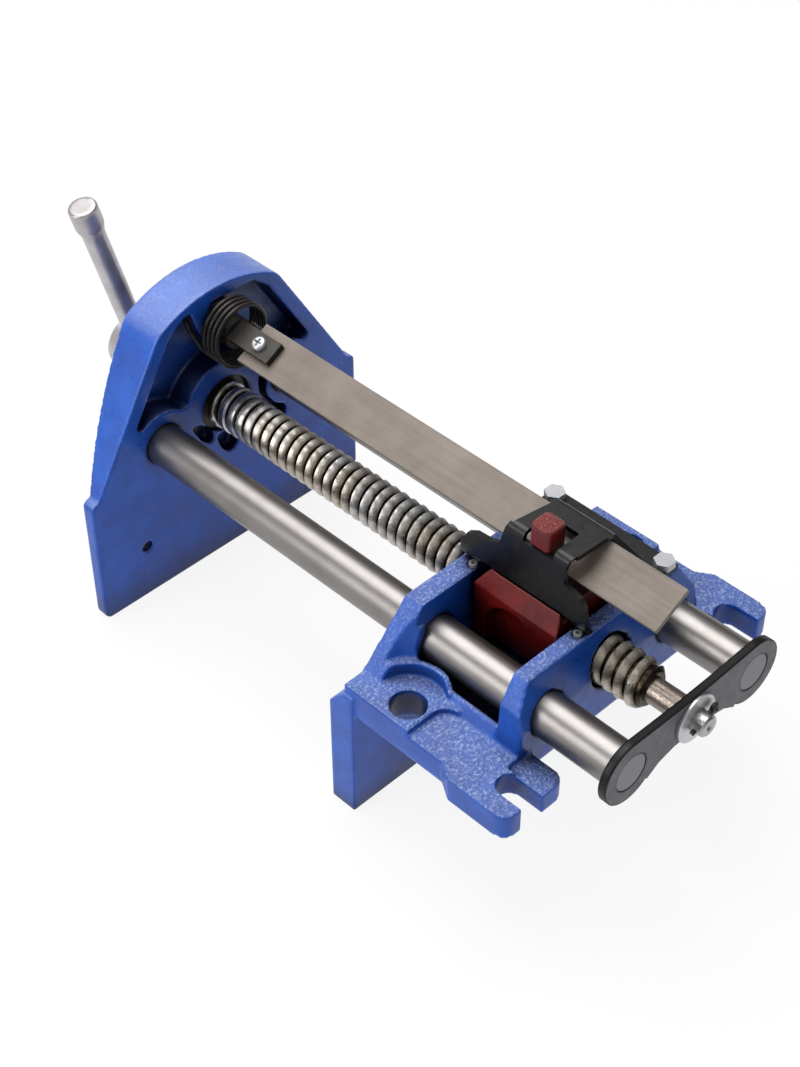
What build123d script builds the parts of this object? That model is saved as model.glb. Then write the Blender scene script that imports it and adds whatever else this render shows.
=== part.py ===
from build123d import *
import math
import os

# Quick-release woodworking vise, shown upside down: it stands on the edges of its jaws.
# X runs across the jaws, Y along the screw from the handle to the bench, Z up.
# The origin lies on the bench face, midway between the two round bolt holes.
# All lengths are millimetres, all angles degrees.

# Jaws
jaw_width = 177.8
jaw_depth = 63.4
front_plate = 8.0
rear_jaw_width = 173.2
rear_jaw_thickness = 14.9
rear_jaw_reach = 37.4
jaw_opening = 166.6
cheek_hole_spacing = 116.6
cheek_hole_diameter = 6.3
cheek_hole_drop = 32.2

# Guide rods and lead screw
rod_diameter = 21.5
rod_spacing = 82.4
rod_height = 26.5
screw_rise = 2.4
screw_lead = 6.35
thread_diameter = 25.6
thread_depth = 3.2
thread_base = 5.0
thread_waist = 3.5
thread_crest = 1.3
thread_waist_share = 0.6
thread_chamfer = 4.5
running_gap = 0.05
free_gap = 0.3
overrun = 3.0

# Front jaw: an arch on a flat plate, hollow on the side that faces the bench
shoulder_height = 13.0
shoulder_radius = 4.0
arch_foot_half_width = 84.5
arch_corner_half_width = 38.6
arch_corner_height = 89.7
arch_corner_radius = 14.0
arch_height = 101.3
arch_depth = 26.0
arch_middle_depth = 22.2
arch_middle_height = 57.0
rim_width = 8.0
pocket_depth = 13.0
pocket_floor_height = 40.5
pocket_corner_radius = 3.5
pocket_top_half_width = 22.0
rod_boss_radius = 18.6
screw_boss_radius = 27.2
screw_boss_foot_radius = 28.5
shaft_boss_radius = 12.0
shaft_boss_recess = 3.5
tooth_width = 13.0
tooth_x = 11.3
tooth_drop = 14.8
tooth_tip_width = 3.6
recess_depth = 7.0
ring_recess = ((21.7, 25.5), (16.9, 23.8), (12.2, 19.2), (9.6, 14.0), (11.2, 10.2), (15.4, 12.0),
               (20.2, 19.0))
foot_recess = ((6.8, 12.0), (1.6, 11.8), (-5.9, 2.4), (-4.4, -0.9), (0.5, -2.2), (4.7, 2.0), (7.0, 7.8))
side_recess = ((-22.4, 33.5), (-22.0, 25.2), (-24.0, 18.7), (-28.2, 11.9), (-32.3, 3.5), (-38.0, 0.6),
               (-39.2, 5.5), (-33.9, 9.8), (-29.4, 15.1), (-26.4, 22.0), (-26.0, 33.0))
outer_boss_radius = 20.0
outer_boss_reach = 50.0
outer_rod_boss_radius = 17.0
outer_rod_boss_reach = 28.0
outer_shaft_boss_reach = 28.0
outer_rib_thickness = 9.0
outer_rib_foot = 8.0

# Body: bench flange, rear pad with two open slots, central rail and two webs
flange_half_width = 85.0
flange_front = 29.0
flange_rear = 10.8
flange_height = 16.9
pad_height = 13.5
pad_half_width = 90.0
pad_step_start = 32.0
pad_step_end = 40.0
pad_rear = 74.0
pad_corner_radius = 6.0
finger_inner = 52.0
finger_drop = 2.6
bolt_hole_spacing = 146.6
bolt_hole_diameter = 17.0
slot_width = 13.0
slot_end = 55.0
rail_half_width = 61.5
rail_top_half_width = 57.5
rail_height = 20.5
rail_wall = 4.0
floor_thickness = 6.0
web_height = 50.0
front_web_front = 30.0
front_web_front_top = 26.0
front_web_rear = 13.0
front_web_rear_top = 15.3
front_web_foot_half_width = 73.8
front_web_top_half_width = 49.0
rear_web_front = 39.8
rear_web_rear = 53.6
rear_web_rear_top = 48.3
rear_web_top_half_width = 50.0
rear_web_shoulder_half_width = 58.5
rear_web_shoulder_height = 36.0
web_screw_hole_diameter = 27.0
bolt_recess_radius = 17.5
bolt_recess_upper_radius = 21.0
bolt_recess_top_radius = 27.0
bolt_recess_step = 24.5
bolt_recess_wall = 3.0
pad_hollow_radius = 8.0
gusset_rear = 11.0
gusset_height = 39.0
jaw_slope_start = 1.5
jaw_slope_end = 11.5

# Link plate across the rod ends
link_plate_thickness = 4.0
link_plate_outer = 99.6
link_end_radius = 16.5
link_waist_top = 41.8
link_waist_top_half_width = 12.0
link_lower_edge = ((12.0, 19.8), (22.0, 17.6), (29.5, 13.0))
tenon_diameter = 19.0

# Screw ends, collar, washers and pins
screw_shank_diameter = 17.0
thread_end = 76.5
thread_start_gap = 1.0
tail_journal_diameter = 12.6
tail_tip_diameter = 11.0
tail_tip_end = 108.0
collar_diameter = 30.6
collar_thickness = 7.0
collar_sink = 3.0
collar_pin_diameter = 4.0
thrust_washer_diameter = 34.0
thrust_washer_thickness = 2.4
head_diameter = 30.0
head_length = 26.5
head_chamfer = 2.0
head_pin_diameter = 5.0
head_pin_setback = 4.4
tail_washer_diameter = 24.5
tail_washer_thickness = 1.6
split_pin_diameter = 2.4
split_pin_length = 14.0
split_pin_eye_radius = 1.6
tip_centre_diameter = 4.0
tip_centre_depth = 2.0
split_pin_angle = 160.0
rod_pin_diameter = 5.0
rod_seat_depth = 24.0
rod_chamfer = 1.0

# Tommy bar, slid through the screw head
bar_diameter = 12.0
bar_length = 194.8
bar_tilt = 75.0
bar_reach = 102.0
bar_plane = 271.7
knob_diameter = 15.2
knob_length = 11.0
knob_flare = 8.0
knob_round = 1.4

# Release shaft, lever and flat release bar
shaft_x = -1.5
shaft_height = 77.8
shaft_diameter = 16.0
release_tilt = 28.8
flat_width = 22.7
flat_thickness = 2.8
flat_front = 181.9
flat_rear = 80.8
tongue_width = 12.0
tongue_thickness = 3.6
tongue_front = 192.5
tongue_end = 164.0
bar_screw_place = 174.0
bar_screw_diameter = 4.0
bar_screw_head_diameter = 7.4
bar_screw_head_height = 2.6
bar_screw_cross_width = 1.1
bar_screw_cross_length = 4.6
bar_nut_width = 7.0
bar_nut_height = 3.2
lever_thickness = 5.0
lever_hub_radius = 10.5
lever_arm_width = 12.0
lever_reach = 60.0
lever_pad_depth = 17.0
lever_pad_thickness = 5.0
lever_washer_diameter = 20.0
lever_washer_thickness = 1.6
lever_nut_width = 10.0
lever_nut_height = 4.5
lever_stud_diameter = 6.0
lever_arm_shares = ((0, 0), (-0.62, -0.24), (-0.93, -0.74), (-0.97, -1.25))

# Torsion spring round the release shaft
spring_wire = 2.4
spring_radius = 16.2
spring_start = 202.1
spring_pitch = 3.05
spring_turns = 4
spring_start_angle = -45.0
spring_start_share = 0.30
spring_start_direction = (-0.30, 0.0, -0.95)
spring_knee_share = 0.72
spring_knee_inset = 1.7
spring_knee_direction = (-0.36, 0.05, -0.93)
spring_end_clear = 2.16
spring_turn_back_shares = (-0.72, -0.25)
spring_turn_back_direction = (0.28, 0.0, 0.96)
spring_end_direction = (0.42, 0.0, 0.91)
spring_samples = 1600
straight_limit = 1e-5

# Half nut
nut_half_width = 20.0
nut_front = 12.5
nut_rear = 37.4
nut_foot = 15.0
nut_shoulder = 46.5
nut_top = 57.0
nut_top_half_width = 14.5
nut_lip = 15.4
nut_front_bevel = 7.0
nut_rear_bevel = 2.5
nut_channel_half_width = 13.4
nut_thread_gap = 0.3
nut_thread_floor = 4.0
nut_groove_floor = 51.0
nut_window_front = 5.0
nut_window_rear = 26.0
nut_window_height = 42.5
nut_window_depth = 4.4
riser_inner = 3.0
riser_outer = 12.2
stem_inner = 10.35
hook_front = 13.7
hook_rear = 25.5
hook_inner = 2.9
hook_outer = 14.7
hook_top = 95.8
hook_overhang_floor = 83.8
hook_round = 1.6
hook_corner = 2.6
bar_grip_gap = 0.55

# Pressed steel cover over the nut
cover_sheet = 2.5
cover_wall_x = 15.0
cover_foot_x = 11.5
cover_foot_height = 5.0
cover_top = 88.0
cover_far_x = 12.5
cover_flange_inner = 37.0
cover_flange_outer = 48.5
cover_bend = 4.0
cover_front = 25.5
cover_rear = 48.2
cover_wall_floor = 56.0
cover_slot_front = 11.0
cover_slot_rear = 28.5
cover_slot_inner = 1.5
cover_slot_floor = 83.0
cover_bolt_x = 43.3
cover_bolt_front = 21.3
cover_bolt_rear = 44.2
cover_bolt_diameter = 5.0
cover_bolt_head = 9.0
cover_bolt_head_height = 3.5
cover_bolt_depth = 11.0
cover_pin_diameter = 4.0
cover_pin_bore = 2.0
cover_pin_x = 14.6
cover_pin_front = 18.0
cover_pin_rear = 44.4
cover_pin_stand = 1.2
cover_pin_depth = 8.0
cover_front_wall_shares = ((-0.06, 0.30), (0.02, 0.31), (0.05, 0.45), (0.12, 0.53), (0.24, 0.55),
                           (0.31, 0.62), (0.345, 0.86), (0.385, 1.10), (-0.06, 1.10))
cover_rear_wall_shares = ((0.87, 1.10), (0.84, 0.95), (0.815, 0.75), (0.825, 0.62), (0.95, 0.55),
                          (0.985, 0.45), (1.0, 0.30), (1.06, 0.30), (1.06, 1.10))
cover_front_plan_shares = (-0.10, 0.385, 0.44, 0.04, -0.10)
cover_rear_plan_shares = (1.10, 0.855, 0.87, 0.97, 1.10)

# Places worked out from the sizes above
front_face = -(rear_jaw_reach + jaw_opening)
rear_face = -rear_jaw_reach
jaw_edge = -jaw_depth
rod_x = rod_spacing / 2
rod_radius = rod_diameter / 2
screw_height = rod_height + screw_rise
thread_radius = thread_diameter / 2
core_radius = thread_radius - thread_depth
shank_radius = screw_shank_diameter / 2
bolt_x = bolt_hole_spacing / 2
boss_end = front_face - outer_boss_reach
washer_front = boss_end - running_gap - thrust_washer_thickness
head_rear = washer_front - running_gap
head_front = head_rear - head_length
bar_y = -bar_plane
plate_inner = link_plate_outer - link_plate_thickness
tongue_floor = flat_thickness / 2 + running_gap
collar_front = front_face - collar_sink - collar_thickness
shaft_radius = shaft_diameter / 2
lever_washer_front = front_face - outer_shaft_boss_reach - running_gap - lever_washer_thickness
lever_rear = lever_washer_front - running_gap
lever_front = lever_rear - lever_thickness


def box(x0, x1, y0, y1, z0, z1):
    """Block between two corners."""
    block = Box(x1 - x0, y1 - y0, z1 - z0)
    return Pos((x0 + x1) / 2, (y0 + y1) / 2, (z0 + z1) / 2) * block


def prism_y(face, y0, y1):
    """Extrude a flat shape drawn with X and Z from y0 to y1."""
    plane = Plane(origin=(0, y1, 0), x_dir=(1, 0, 0), z_dir=(0, -1, 0))
    return extrude(plane * face, amount=y1 - y0)


def prism_x(face, x0, x1):
    """Extrude a flat shape drawn with Y and Z from x0 to x1."""
    plane = Plane(origin=(x0, 0, 0), x_dir=(0, 1, 0), z_dir=(1, 0, 0))
    return extrude(plane * face, amount=x1 - x0)


def prism_z(face, z0, z1):
    """Extrude a flat shape drawn with X and Y from z0 to z1."""
    return extrude(Pos(0, 0, z0) * face, amount=z1 - z0)


def outline(points):
    """Flat shape with straight sides."""
    return make_face(Polyline(*points, close=True))


def rounded(points, radius):
    """Flat shape with straight sides and round corners."""
    return make_face(FilletPolyline(*points, radius=radius, close=True))


def rod_y(x, z, radius, y0, y1):
    """Round rod along Y."""
    return Solid.make_cylinder(radius, y1 - y0, Plane(origin=(x, y0, z), z_dir=(0, 1, 0)))


def rod_z(x, y, radius, z0, z1):
    """Round rod along Z."""
    return Solid.make_cylinder(radius, z1 - z0, Plane(origin=(x, y, z0), z_dir=(0, 0, 1)))


def ring_y(x, z, outer, inner, y0, y1):
    """Flat ring or sleeve along Y."""
    return rod_y(x, z, outer, y0, y1) - rod_y(x, z, inner, y0 - overrun, y1 + overrun)


def both_sides(shape):
    """A shape and its mirror image across the middle."""
    return shape + mirror(shape, Plane.YZ)


def release_frame(shape):
    """Place what is drawn flat about the shaft axis at the tilt of the release bar."""
    return Pos(shaft_x, 0, shaft_height) * Rot(0, release_tilt, 0) * shape


def thread_ridge(y0, turns):
    """Helical ridge of the screw from y0, with a rounded crest."""
    helix = Helix(pitch=screw_lead, height=turns * screw_lead, radius=core_radius)
    half_base = thread_base / 2
    half_waist = thread_waist / 2
    half_crest = thread_crest / 2
    root_depth = thread_depth / 6
    waist = thread_depth * thread_waist_share
    section = outline([(-root_depth, -half_base), (waist, -half_waist), (thread_depth, -half_crest),
                       (thread_depth, half_crest), (waist, half_waist), (-root_depth, half_base)])
    plane = Plane(origin=helix @ 0, x_dir=(1, 0, 0), z_dir=helix % 0)
    ridge = sweep(plane * section, path=helix, binormal=Edge.make_line((0, 0, 0), (0, 0, 1)))
    stand = Plane(origin=(0, y0, screw_height), x_dir=(1, 0, 0), z_dir=(0, 1, 0))
    return stand.location * ridge


def front_jaw():
    """Front jaw casting."""
    foot = arch_foot_half_width
    arc = ThreePointArc((-arch_corner_half_width, arch_corner_height), (0, arch_height),
                        (arch_corner_half_width, arch_corner_height))
    side = Polyline((arch_corner_half_width, arch_corner_height), (foot, shoulder_height),
                    (-foot, shoulder_height), (-arch_corner_half_width, arch_corner_height))
    arch = make_face([arc, side])
    corners = arch.vertices().sort_by(Axis.Y)[-2:]
    arch = fillet(corners, arch_corner_radius)
    profile_bottom = shoulder_height - overrun
    back = ThreePointArc((front_face - front_plate, shoulder_height),
                         (front_face - arch_middle_depth, arch_middle_height),
                         (front_face - arch_depth, arch_height))
    side_view = make_face([back, Polyline((front_face - arch_depth, arch_height),
                                          (front_face, arch_height), (front_face, profile_bottom),
                                          (front_face - front_plate, profile_bottom),
                                          (front_face - front_plate, shoulder_height))])
    arch_solid = prism_y(arch, front_face - arch_depth, front_face)
    arch_solid = arch_solid & prism_x(side_view, -jaw_width, jaw_width)
    plate = rounded([(-jaw_width / 2, jaw_edge), (jaw_width / 2, jaw_edge),
                     (jaw_width / 2, shoulder_height), (-jaw_width / 2, shoulder_height)],
                    shoulder_radius)
    jaw = arch_solid + prism_y(plate, front_face - front_plate, front_face)

    # Bosses and ribs on the handle side
    jaw += rod_y(0, screw_height, outer_boss_radius, boss_end, front_face - front_plate)
    jaw += rod_y(shaft_x, shaft_height, shaft_boss_radius, front_face - outer_shaft_boss_reach,
                 front_face - pocket_depth)
    rod_end = front_face - outer_rod_boss_reach
    rib_foot = jaw_edge + outer_rib_foot
    rib = outline([(front_face, rib_foot), (front_face - front_plate, rib_foot),
                   (rod_end, rod_height - outer_rod_boss_radius), (rod_end, rod_height),
                   (front_face, rod_height)])
    half_rib = outer_rib_thickness / 2
    for x in (-rod_x, rod_x):
        jaw += rod_y(x, rod_height, outer_rod_boss_radius, rod_end, front_face)
        jaw += prism_x(rib, x - half_rib, x + half_rib)

    # Hollow behind the rim, round the bosses and the spring's tooth
    edge_shift = rim_width / math.cos(math.atan2(foot - arch_corner_half_width,
                                                 arch_corner_height - shoulder_height))
    slope = (foot - arch_corner_half_width) / (arch_corner_height - shoulder_height)
    corner_height = arch_corner_height - edge_shift / 2
    tip_x = foot - edge_shift - slope * (pocket_floor_height - shoulder_height)
    corner_x = foot - edge_shift - slope * (corner_height - shoulder_height)
    top = arch_height - rim_width
    inner = rounded([(tip_x, pocket_floor_height), (corner_x, corner_height),
                     (pocket_top_half_width, top), (-pocket_top_half_width, top),
                     (-corner_x, corner_height), (-tip_x, pocket_floor_height)], pocket_corner_radius)
    pocket_bottom = front_face - pocket_depth
    pocket = prism_y(inner, pocket_bottom, front_face + overrun)
    pocket -= Solid.make_cone(screw_boss_foot_radius, screw_boss_radius, pocket_depth,
                              Plane(origin=(0, pocket_bottom, screw_height), z_dir=(0, 1, 0)))
    pocket -= rod_y(0, screw_height, screw_boss_radius, front_face - overrun, front_face + jaw_depth)
    for x in (-rod_x, rod_x):
        pocket -= rod_y(x, rod_height, rod_boss_radius, pocket_bottom - overrun, front_face + jaw_depth)
    pocket -= rod_y(shaft_x, shaft_height, shaft_boss_radius, pocket_bottom - overrun,
                    front_face - shaft_boss_recess)
    tooth_top = arch_height - rim_width
    tooth = rounded([(tooth_x - tooth_width / 2, tooth_top + rim_width),
                     (tooth_x - tooth_width / 2, tooth_top),
                     (tooth_x - tooth_tip_width / 2, tooth_top - tooth_drop),
                     (tooth_x + tooth_tip_width / 2, tooth_top - tooth_drop),
                     (tooth_x + tooth_width / 2, tooth_top),
                     (tooth_x + tooth_width / 2, tooth_top + rim_width)], tooth_tip_width / 3)
    pocket -= prism_y(tooth, pocket_bottom - overrun, front_face + jaw_depth)
    jaw -= pocket

    # Shallow recesses cast in the near face beside and below the screw
    for points in (ring_recess, foot_recess, side_recess):
        shape = make_face(Spline(*points, periodic=True))
        jaw -= prism_y(shape, front_face - recess_depth, front_face + overrun)

    # Bores for the screw, its collar, the rods, their pins, the shaft and the cheek screws
    jaw -= rod_y(0, screw_height, shank_radius + running_gap, boss_end - overrun, front_face + overrun)
    jaw -= rod_y(0, screw_height, collar_diameter / 2 + free_gap, collar_front - running_gap,
                 front_face + overrun)
    jaw -= rod_y(shaft_x, shaft_height, shaft_radius + running_gap,
                 front_face - outer_shaft_boss_reach - overrun, front_face + overrun)
    pin_y = front_face - outer_rod_boss_reach / 2
    for x in (-rod_x, rod_x):
        jaw -= rod_y(x, rod_height, rod_radius, front_face - rod_seat_depth, front_face + overrun)
        jaw -= rod_z(x, pin_y, rod_pin_diameter / 2, rod_height - outer_rod_boss_radius - jaw_depth,
                     rod_height + rod_radius + rod_pin_diameter)
    for x in (-cheek_hole_spacing / 2, cheek_hole_spacing / 2):
        jaw -= rod_y(x, -cheek_hole_drop, cheek_hole_diameter / 2, front_face - front_plate - overrun,
                     front_face + overrun)
    return jaw


def body_casting():
    """Rear jaw, bench flange, pads, rail and webs in one casting."""
    jaw = outline([(rear_face, jaw_edge), (rear_face, jaw_slope_start), (-flange_front, jaw_slope_end),
                   (rear_face + rear_jaw_thickness, jaw_slope_end),
                   (rear_face + rear_jaw_thickness, jaw_edge)])
    body = prism_x(jaw, -rear_jaw_width / 2, rear_jaw_width / 2)
    body += box(-flange_half_width, flange_half_width, -flange_front, flange_rear, 0, flange_height)
    pad = outline([(-flange_half_width, -flange_front), (flange_half_width, -flange_front),
                   (flange_half_width, pad_step_start), (pad_half_width, pad_step_end),
                   (pad_half_width, pad_rear), (finger_inner, pad_rear), (finger_inner, rear_web_front),
                   (-finger_inner, rear_web_front), (-finger_inner, pad_rear),
                   (-pad_half_width, pad_rear), (-pad_half_width, pad_step_end),
                   (-flange_half_width, pad_step_start)])
    pad_solid = prism_z(pad, 0, pad_height)
    rear_corners = pad_solid.edges().filter_by(Axis.Z).group_by(Axis.Y)[-1]
    pad_solid = fillet(rear_corners, pad_corner_radius)
    body += pad_solid

    rail = outline([(-rail_half_width, 0), (rail_half_width, 0), (rail_half_width, pad_height),
                    (rail_top_half_width, rail_height), (-rail_top_half_width, rail_height),
                    (-rail_half_width, pad_height)])
    body += prism_y(rail, -front_web_rear - overrun, rear_web_rear - overrun)

    front = outline([(-front_web_foot_half_width, flange_height / 2),
                     (-front_web_foot_half_width, flange_height),
                     (-front_web_top_half_width, web_height), (front_web_top_half_width, web_height),
                     (front_web_foot_half_width, flange_height),
                     (front_web_foot_half_width, flange_height / 2)])
    lean = outline([(-flange_front, 0), (-flange_front, flange_height),
                    (-front_web_front_top, web_height), (-front_web_rear_top, web_height),
                    (-front_web_rear, 0)])
    web = prism_y(front, -front_web_front, -front_web_rear) & prism_x(lean, -jaw_width, jaw_width)
    body += web
    rear = outline([(-rail_half_width, 0), (-rear_web_shoulder_half_width, rear_web_shoulder_height),
                    (-rear_web_top_half_width, web_height), (rear_web_top_half_width, web_height),
                    (rear_web_shoulder_half_width, rear_web_shoulder_height), (rail_half_width, 0)])
    draft = outline([(rear_web_front, 0), (rear_web_front, web_height),
                     (rear_web_rear_top, web_height), (rear_web_rear, rod_height),
                     (rear_web_rear, 0)])
    body += prism_y(rear, rear_web_front, rear_web_rear) & prism_x(draft, -jaw_width, jaw_width)
    gusset = outline([(-front_web_rear - overrun, flange_height), (-front_web_rear - overrun, gusset_height),
                      (-front_web_rear, gusset_height), (gusset_rear, rail_height),
                      (gusset_rear, flange_height)])
    gusset_inner = rail_top_half_width - 2 * rail_wall
    body += both_sides(prism_x(gusset, gusset_inner, rail_half_width))

    # Hollow between the webs, walled off from the bolt recesses
    cavity = box(-rail_top_half_width + rail_wall / 2, rail_top_half_width - rail_wall / 2,
                 -front_web_rear, rear_web_front, floor_thickness, web_height + overrun)
    for x in (-bolt_x, bolt_x):
        cavity -= rod_z(x, 0, bolt_recess_radius + bolt_recess_wall, 0, web_height + jaw_depth)
    body -= cavity
    for x in (-bolt_x, bolt_x):
        body -= rod_z(x, 0, bolt_recess_radius, flange_height, bolt_recess_step + running_gap)
        upper = Solid.make_cone(bolt_recess_upper_radius, bolt_recess_top_radius,
                                web_height - bolt_recess_step,
                                Plane(origin=(x, 0, bolt_recess_step), z_dir=(0, 0, 1)))
        body -= upper
        body -= rod_z(x, 0, bolt_hole_diameter / 2, -overrun, flange_height + overrun)

    # Hollow corner between the flange's step and the rail
    near = rail_half_width - rail_wall
    far = rail_half_width + pad_hollow_radius
    step_end = flange_rear + pad_hollow_radius
    corner = box(near, far, flange_rear - overrun, step_end, pad_height - overrun, flange_height)
    corner -= rod_z(far, step_end, pad_hollow_radius, pad_height - jaw_depth, flange_height + overrun)
    body += both_sides(corner)

    # Open slots in the rear pad, and the lower inner fingers
    slot_start = slot_end + slot_width / 2
    for x in (-bolt_x, bolt_x):
        body -= rod_z(x, slot_start, slot_width / 2, -overrun, flange_height + overrun)
        body -= box(x - slot_width / 2, x + slot_width / 2, slot_start, pad_rear + overrun,
                    -overrun, flange_height + overrun)
    low_cut = box(finger_inner - overrun, bolt_x - slot_width / 2 + running_gap, rear_web_rear,
                  pad_rear + overrun, pad_height - finger_drop, pad_height + overrun)
    body -= both_sides(low_cut)

    # Bores for the rods and the screw, taps for the cover bolts and its pins
    for x in (-rod_x, rod_x):
        body -= rod_y(x, rod_height, rod_radius + running_gap, -front_web_front - overrun,
                      rear_web_rear + overrun)
    body -= rod_y(0, screw_height, web_screw_hole_diameter / 2, -front_web_front - overrun,
                  rear_web_rear + overrun)
    for y in (-cover_bolt_front, cover_bolt_rear):
        body -= rod_z(-cover_bolt_x, y, cover_bolt_diameter / 2, web_height - cover_bolt_depth,
                      web_height + overrun)
    for y in (-cover_pin_front, cover_pin_rear):
        body -= rod_z(cover_pin_x, y, cover_pin_diameter / 2, web_height - cover_pin_depth,
                      web_height + overrun)
    for x in (-cheek_hole_spacing / 2, cheek_hole_spacing / 2):
        body -= rod_y(x, -cheek_hole_drop, cheek_hole_diameter / 2, rear_face - overrun,
                      rear_face + rear_jaw_thickness + overrun)
    return body


def guide_rod(x):
    """Guide rod with the end turned down for its rivet head."""
    rod = rod_y(x, rod_height, rod_radius, front_face - rod_seat_depth, plate_inner)
    rod = chamfer(rod.edges().sort_by(Axis.Y)[0], rod_chamfer)
    tenon = rod_y(x, rod_height, tenon_diameter / 2, plate_inner - overrun, link_plate_outer)
    tenon = chamfer(tenon.edges().sort_by(Axis.Y)[-1], rod_chamfer / 2)
    rod += tenon
    pin_y = front_face - outer_rod_boss_reach / 2
    rod -= rod_z(x, pin_y, rod_pin_diameter / 2, rod_height - rod_diameter,
                 rod_height + rod_radius + overrun)
    return rod


def rod_pins():
    """Cross pins that hold the rods in the front jaw."""
    pin_y = front_face - outer_rod_boss_reach / 2
    low = rod_height - outer_rod_boss_radius + rod_chamfer
    high = rod_height + rod_radius + rod_pin_diameter
    return [rod_z(x, pin_y, rod_pin_diameter / 2, low, high) for x in (-rod_x, rod_x)]


def link_plate():
    """Plate riveted across the rod ends, waisted in the middle."""
    half = [(rod_x, rod_height), (rod_x, rod_height + link_end_radius),
            (link_waist_top_half_width, link_waist_top)]
    right = list(link_lower_edge) + half
    shape = outline(right + [(-x, z) for x, z in reversed(right)])
    for x in (-rod_x, rod_x):
        shape += Pos(x, rod_height) * Circle(link_end_radius)
    plate = prism_y(shape, plate_inner, link_plate_outer)
    for x in (-rod_x, rod_x):
        plate -= rod_y(x, rod_height, tenon_diameter / 2, plate_inner - overrun,
                       link_plate_outer + overrun)
    plate -= rod_y(0, screw_height, tail_journal_diameter / 2 + running_gap, plate_inner - overrun,
                   link_plate_outer + overrun)
    return plate


def lead_screw():
    """Threaded screw with its plain shank and its tail journal."""
    thread_start = front_face - collar_sink + thread_start_gap
    turns = math.ceil((thread_end - thread_start) / screw_lead) + 1
    screw = rod_y(0, screw_height, core_radius, thread_start - overrun, thread_end + screw_lead)
    screw += thread_ridge(thread_start - thread_base / 2, turns)
    screw -= rod_y(0, screw_height, thread_radius + overrun, thread_start - jaw_depth, thread_start)
    screw -= rod_y(0, screw_height, thread_radius + overrun, thread_end, thread_end + jaw_depth)
    chamfer_start = thread_end - thread_chamfer
    tail_cut = rod_y(0, screw_height, thread_radius + overrun, chamfer_start, thread_end + overrun)
    tail_cut -= Solid.make_cone(thread_radius + free_gap, thread_radius + free_gap - thread_chamfer,
                                thread_chamfer,
                                Plane(origin=(0, chamfer_start, screw_height), z_dir=(0, 1, 0)))
    screw -= tail_cut
    screw += rod_y(0, screw_height, shank_radius, head_front + overrun, thread_start + overrun)
    tail = rod_y(0, screw_height, tail_journal_diameter / 2, thread_end - overrun, link_plate_outer)
    screw += tail
    tip = rod_y(0, screw_height, tail_tip_diameter / 2, link_plate_outer - overrun, tail_tip_end)
    screw += chamfer(tip.edges().sort_by(Axis.Y)[-1], rod_chamfer)
    screw -= Solid.make_cone(0, tip_centre_diameter / 2, tip_centre_depth,
                             Plane(origin=(0, tail_tip_end - tip_centre_depth, screw_height),
                                   z_dir=(0, 1, 0)))
    screw -= split_pin_hole()
    screw -= collar_pin_rod(running_gap)
    screw -= head_pin_rod()
    screw -= bar_rod(bar_diameter / 2 + running_gap)
    return screw


def split_pin_line():
    """Middle and direction of the split pin through the screw's tip."""
    y = link_plate_outer + tail_washer_thickness + 2 * running_gap + split_pin_diameter
    angle = math.radians(split_pin_angle)
    return Vector(0, y, screw_height), Vector(math.cos(angle), 0, math.sin(angle))


def split_pin_hole():
    """Hole for the split pin."""
    middle, along = split_pin_line()
    start = middle - along * split_pin_length
    return Solid.make_cylinder(split_pin_diameter / 2 + running_gap, 2 * split_pin_length,
                               Plane(origin=start, z_dir=along))


def split_pin():
    """Split pin: one leg through the screw and an eye at its end."""
    middle, along = split_pin_line()
    half = split_pin_length / 2
    leg = Solid.make_cylinder(split_pin_diameter / 2, split_pin_length,
                              Plane(origin=middle - along * half, z_dir=along))
    eye = Solid.make_torus(split_pin_eye_radius, split_pin_diameter / 2,
                           Plane(origin=middle + along * (half + split_pin_eye_radius), z_dir=(0, 1, 0)))
    return leg + eye


def collar_pin_rod(gap):
    """Drive pin of the thrust collar."""
    y = collar_front + collar_thickness / 2
    length = collar_diameter / 2 - rod_chamfer
    return rod_z(0, y, collar_pin_diameter / 2 + gap, screw_height - length, screw_height + length)


def thrust_collar():
    """Collar that pulls the front jaw back with the screw."""
    collar = ring_y(0, screw_height, collar_diameter / 2, shank_radius, collar_front,
                    collar_front + collar_thickness)
    return collar - collar_pin_rod(running_gap)


def head_pin_rod():
    """Drive pin of the screw head."""
    y = head_rear - head_pin_setback
    length = head_diameter / 2 - head_chamfer / 2
    angle = math.radians(bar_tilt)
    along = Vector(-math.sin(angle), 0, math.cos(angle))
    start = Vector(0, y, screw_height) - along * length
    return Solid.make_cylinder(head_pin_diameter / 2, 2 * length, Plane(origin=start, z_dir=along))


def bar_rod(radius):
    """Round rod along the tommy bar's axis."""
    angle = math.radians(bar_tilt)
    along = Vector(math.cos(angle), 0, math.sin(angle))
    centre = Vector(0, bar_y, screw_height)
    start = centre - along * bar_length
    return Solid.make_cylinder(radius, 2 * bar_length, Plane(origin=start, z_dir=along))


def screw_head():
    """Round head that the tommy bar passes through."""
    head = rod_y(0, screw_height, head_diameter / 2, head_front, head_rear)
    head = chamfer(head.edges(), head_chamfer)
    head -= rod_y(0, screw_height, shank_radius, head_front + overrun, head_rear + overrun)
    head -= bar_rod(bar_diameter / 2 + running_gap)
    return head - head_pin_rod()


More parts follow.
